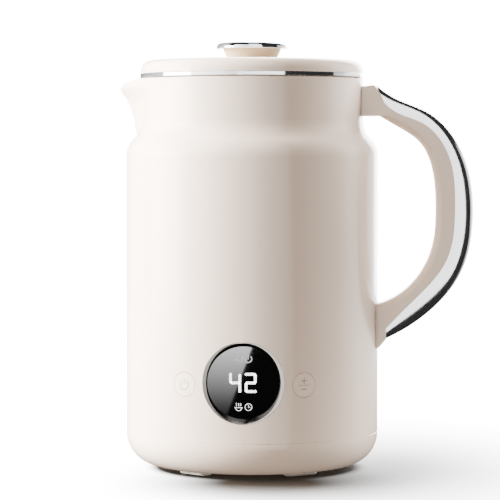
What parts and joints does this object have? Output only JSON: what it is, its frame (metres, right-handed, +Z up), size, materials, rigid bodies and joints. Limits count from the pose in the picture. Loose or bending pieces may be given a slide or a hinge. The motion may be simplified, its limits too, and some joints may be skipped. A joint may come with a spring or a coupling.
{
  "type": "electric temperature control kettle",
  "caption": "Cylindrical electric kettle with a D-handle, pouring lip, lift-off lid, round display and two push keys on its front.",
  "frame": {"origin": "on the body's axis, in the plane that the feet stand on", "axes": "+Z up along the body's axis, +X towards the handle, -Y towards the display"},
  "size_m": [0.2037, 0.1455, 0.245],
  "materials": {
    "cream_gloss": "glossy moulded cream plastic",
    "cream_satin": "satin moulded cream plastic",
    "bright_chrome": "polished chrome plate",
    "steel": "brushed stainless steel",
    "screw_steel": "zinc-plated steel",
    "cast_aluminium": "plain aluminium",
    "pin_brass": "bare brass",
    "dark_plastic": "black moulded plastic",
    "board_green": "solder-masked circuit board",
    "silicone": "translucent white silicone",
    "foot_rubber": "pale soft rubber",
    "black_glass": "smoked black display window"
  },
  "bodies": {
    "body": {"base_cover": "cream_satin", "base_screws": "screw_steel", "board_screws": "screw_steel", "capacitor": "dark_plastic", "chassis": "dark_plastic", "digit_module": "dark_plastic", "display_bezel": "bright_chrome", "display_board": "board_green", "display_glass": "black_glass", "display_housing": "dark_plastic", "display_screws": "screw_steel", "front_left_foot": "foot_rubber", "front_right_foot": "foot_rubber", "handle_body": "cream_gloss", "handle_screws": "screw_steel", "handle_trim": "bright_chrome", "heater_plate": "cast_aluminium", "heating_element": "cast_aluminium", "inlet_pins": "pin_brass", "inlet_screws": "screw_steel", "inlet_socket": "dark_plastic", "left_key_bracket": "dark_plastic", "left_key_screws": "screw_steel", "left_switch": "dark_plastic", "liner": "steel", "liner_gasket": "silicone", "liner_nuts": "screw_steel", "liner_studs": "screw_steel", "outer_casing": "cream_gloss", "power_board": "board_green", "rear_left_foot": "foot_rubber", "rear_right_foot": "foot_rubber", "relay": "dark_plastic", "right_key_bracket": "dark_plastic", "right_key_screws": "screw_steel", "right_switch": "dark_plastic", "temperature_sensor": "screw_steel", "terminal_block": "dark_plastic", "thermostats": "dark_plastic", "transformer": "screw_steel"},
    "lid": {"lid_cover": "cream_gloss", "lid_band": "bright_chrome", "lid_plug": "cream_satin", "lid_plate": "steel", "lid_seal": "silicone", "lid_screws": "screw_steel", "knob_body": "cream_gloss", "knob_cap": "bright_chrome", "knob_screw": "screw_steel"},
    "left_key": {"left_key": "cream_satin", "left_plunger": "dark_plastic"},
    "right_key": {"right_key": "cream_satin", "right_plunger": "dark_plastic"}
  },
  "joints": [
    {"name": "lid_lift", "type": "slide", "parent": "body", "child": "lid", "axis": [0, 0, 1], "range_m": [0, 0.06]},
    {"name": "left_key_press", "type": "slide", "parent": "body", "child": "left_key", "axis": [0.4586, 0.8886, 0], "range_m": [0, 0.0007], "stiffness_N_per_m": 900},
    {"name": "right_key_press", "type": "slide", "parent": "body", "child": "right_key", "axis": [-0.4586, 0.8886, 0], "range_m": [0, 0.0007], "stiffness_N_per_m": 900}
  ]
}
